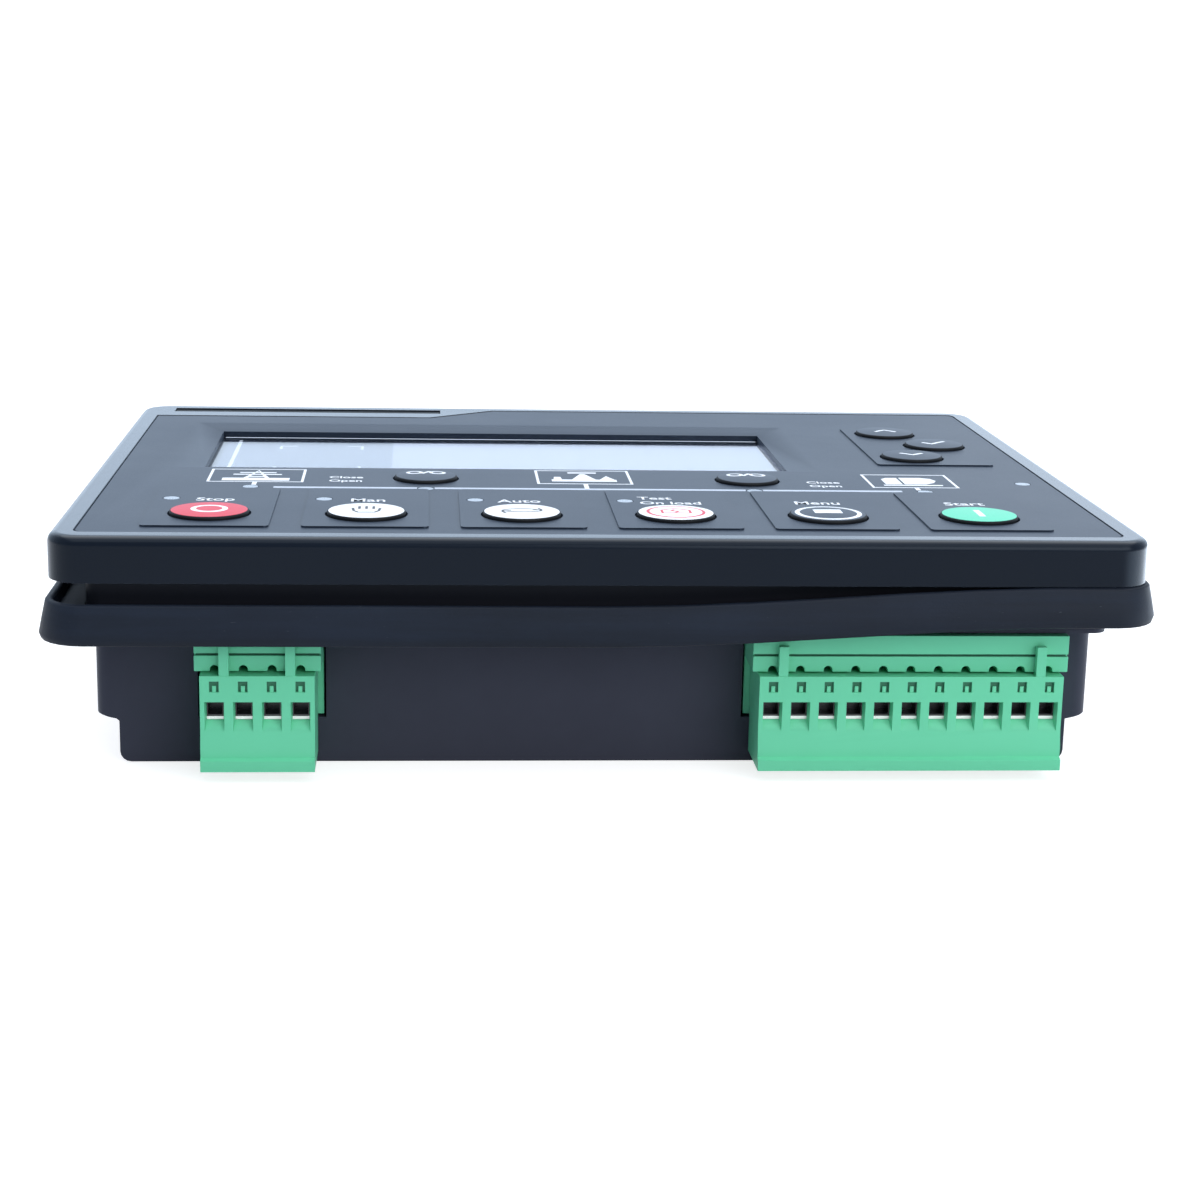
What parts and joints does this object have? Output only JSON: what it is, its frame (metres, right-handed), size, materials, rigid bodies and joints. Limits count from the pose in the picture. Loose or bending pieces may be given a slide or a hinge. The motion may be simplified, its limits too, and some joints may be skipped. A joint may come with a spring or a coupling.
{
  "type": "genset controller",
  "caption": "Flat panel-mount genset controller with a display, travelling push keys, status lights, a loose panel gasket, a two-tier rear box and green pluggable screw terminals.",
  "frame": {"origin": "centre of the rear face that the controller rests on when it lies on its back", "axes": "+X along the long side to the right of the front face, +Y towards the display edge, +Z out of the front face"},
  "size_m": [0.201, 0.156, 0.0463],
  "materials": {
    "case_plastic": "fine moulded texture",
    "overlay_film": "matte face sheet with white print",
    "inlay_gloss": "gloss",
    "gasket_rubber": "soft matte rubber",
    "clear_window": "clear gloss",
    "display_glass": "pale polariser",
    "display_frame": "white moulding",
    "light_pipe": "clear moulding",
    "led_body": "white",
    "key_red": "satin rubber key",
    "key_white": "satin rubber key",
    "key_dark": "satin rubber key",
    "key_green": "satin rubber key",
    "terminal_green": "moulded satin",
    "circuit_board": "solder mask",
    "contact_gold": "gold flash",
    "tinned_metal": "tinned",
    "zinc_steel": "zinc plated",
    "black_component": "moulded",
    "relay_case": "moulded",
    "capacitor_sleeve": "shrunk sleeve",
    "transformer_case": "taped core"
  },
  "bodies": {
    "controller": {"bezel": "case_plastic", "nameplate_inlay": "inlay_gloss", "front_overlay": "overlay_film", "display_window": "clear_window", "lcd_glass": "display_glass", "lcd_frame": "display_frame", "light_pipes": "light_pipe", "status_leds": "led_body", "contact_pads": "contact_gold", "key_board": "circuit_board", "key_board_screws": "zinc_steel", "panel_gasket": "gasket_rubber", "rear_housing": "case_plastic", "case_screws": "zinc_steel", "main_board": "circuit_board", "board_screws": "zinc_steel", "link_header": "contact_gold", "link_socket": "black_component", "relays": "relay_case", "capacitors": "capacitor_sleeve", "control_chips": "black_component", "sense_transformers": "transformer_case", "left_header": "terminal_green", "left_header_pins": "tinned_metal", "right_header": "terminal_green", "right_header_pins": "tinned_metal"},
    "key_stop": {"key_stop": "key_red"},
    "key_manual": {"key_manual": "key_white"},
    "key_auto": {"key_auto": "key_white"},
    "key_test": {"key_test": "key_white"},
    "key_menu": {"key_menu": "key_dark"},
    "key_start": {"key_start": "key_green"},
    "key_mains_breaker": {"key_mains_breaker": "key_dark"},
    "key_gen_breaker": {"key_gen_breaker": "key_dark"},
    "key_up": {"key_up": "key_dark"},
    "key_confirm": {"key_confirm": "key_dark"},
    "key_down": {"key_down": "key_dark"},
    "left_plug": {"left_plug": "terminal_green", "left_plug_clamps": "tinned_metal", "left_plug_screws": "zinc_steel"},
    "right_plug": {"right_plug": "terminal_green", "right_plug_clamps": "tinned_metal", "right_plug_screws": "zinc_steel"}
  },
  "joints": [
    {"name": "key_stop_press", "type": "slide", "parent": "controller", "child": "key_stop", "axis": [0, 0, -1], "range_m": [0, 0.0008], "stiffness_N_per_m": 400},
    {"name": "key_manual_press", "type": "slide", "parent": "controller", "child": "key_manual", "axis": [0, 0, -1], "range_m": [0, 0.0008], "stiffness_N_per_m": 400},
    {"name": "key_auto_press", "type": "slide", "parent": "controller", "child": "key_auto", "axis": [0, 0, -1], "range_m": [0, 0.0008], "stiffness_N_per_m": 400},
    {"name": "key_test_press", "type": "slide", "parent": "controller", "child": "key_test", "axis": [0, 0, -1], "range_m": [0, 0.0008], "stiffness_N_per_m": 400},
    {"name": "key_menu_press", "type": "slide", "parent": "controller", "child": "key_menu", "axis": [0, 0, -1], "range_m": [0, 0.0008], "stiffness_N_per_m": 400},
    {"name": "key_start_press", "type": "slide", "parent": "controller", "child": "key_start", "axis": [0, 0, -1], "range_m": [0, 0.0008], "stiffness_N_per_m": 400},
    {"name": "key_mains_breaker_press", "type": "slide", "parent": "controller", "child": "key_mains_breaker", "axis": [0, 0, -1], "range_m": [0, 0.0008], "stiffness_N_per_m": 400},
    {"name": "key_gen_breaker_press", "type": "slide", "parent": "controller", "child": "key_gen_breaker", "axis": [0, 0, -1], "range_m": [0, 0.0008], "stiffness_N_per_m": 400},
    {"name": "key_up_press", "type": "slide", "parent": "controller", "child": "key_up", "axis": [0, 0, -1], "range_m": [0, 0.0008], "stiffness_N_per_m": 400},
    {"name": "key_confirm_press", "type": "slide", "parent": "controller", "child": "key_confirm", "axis": [0, 0, -1], "range_m": [0, 0.0008], "stiffness_N_per_m": 400},
    {"name": "key_down_press", "type": "slide", "parent": "controller", "child": "key_down", "axis": [0, 0, -1], "range_m": [0, 0.0008], "stiffness_N_per_m": 400},
    {"name": "left_plug_draw", "type": "slide", "parent": "controller", "child": "left_plug", "axis": [0, -1, 0], "range_m": [0, 0.014]},
    {"name": "right_plug_draw", "type": "slide", "parent": "controller", "child": "right_plug", "axis": [0, -1, 0], "range_m": [0, 0.014]}
  ]
}
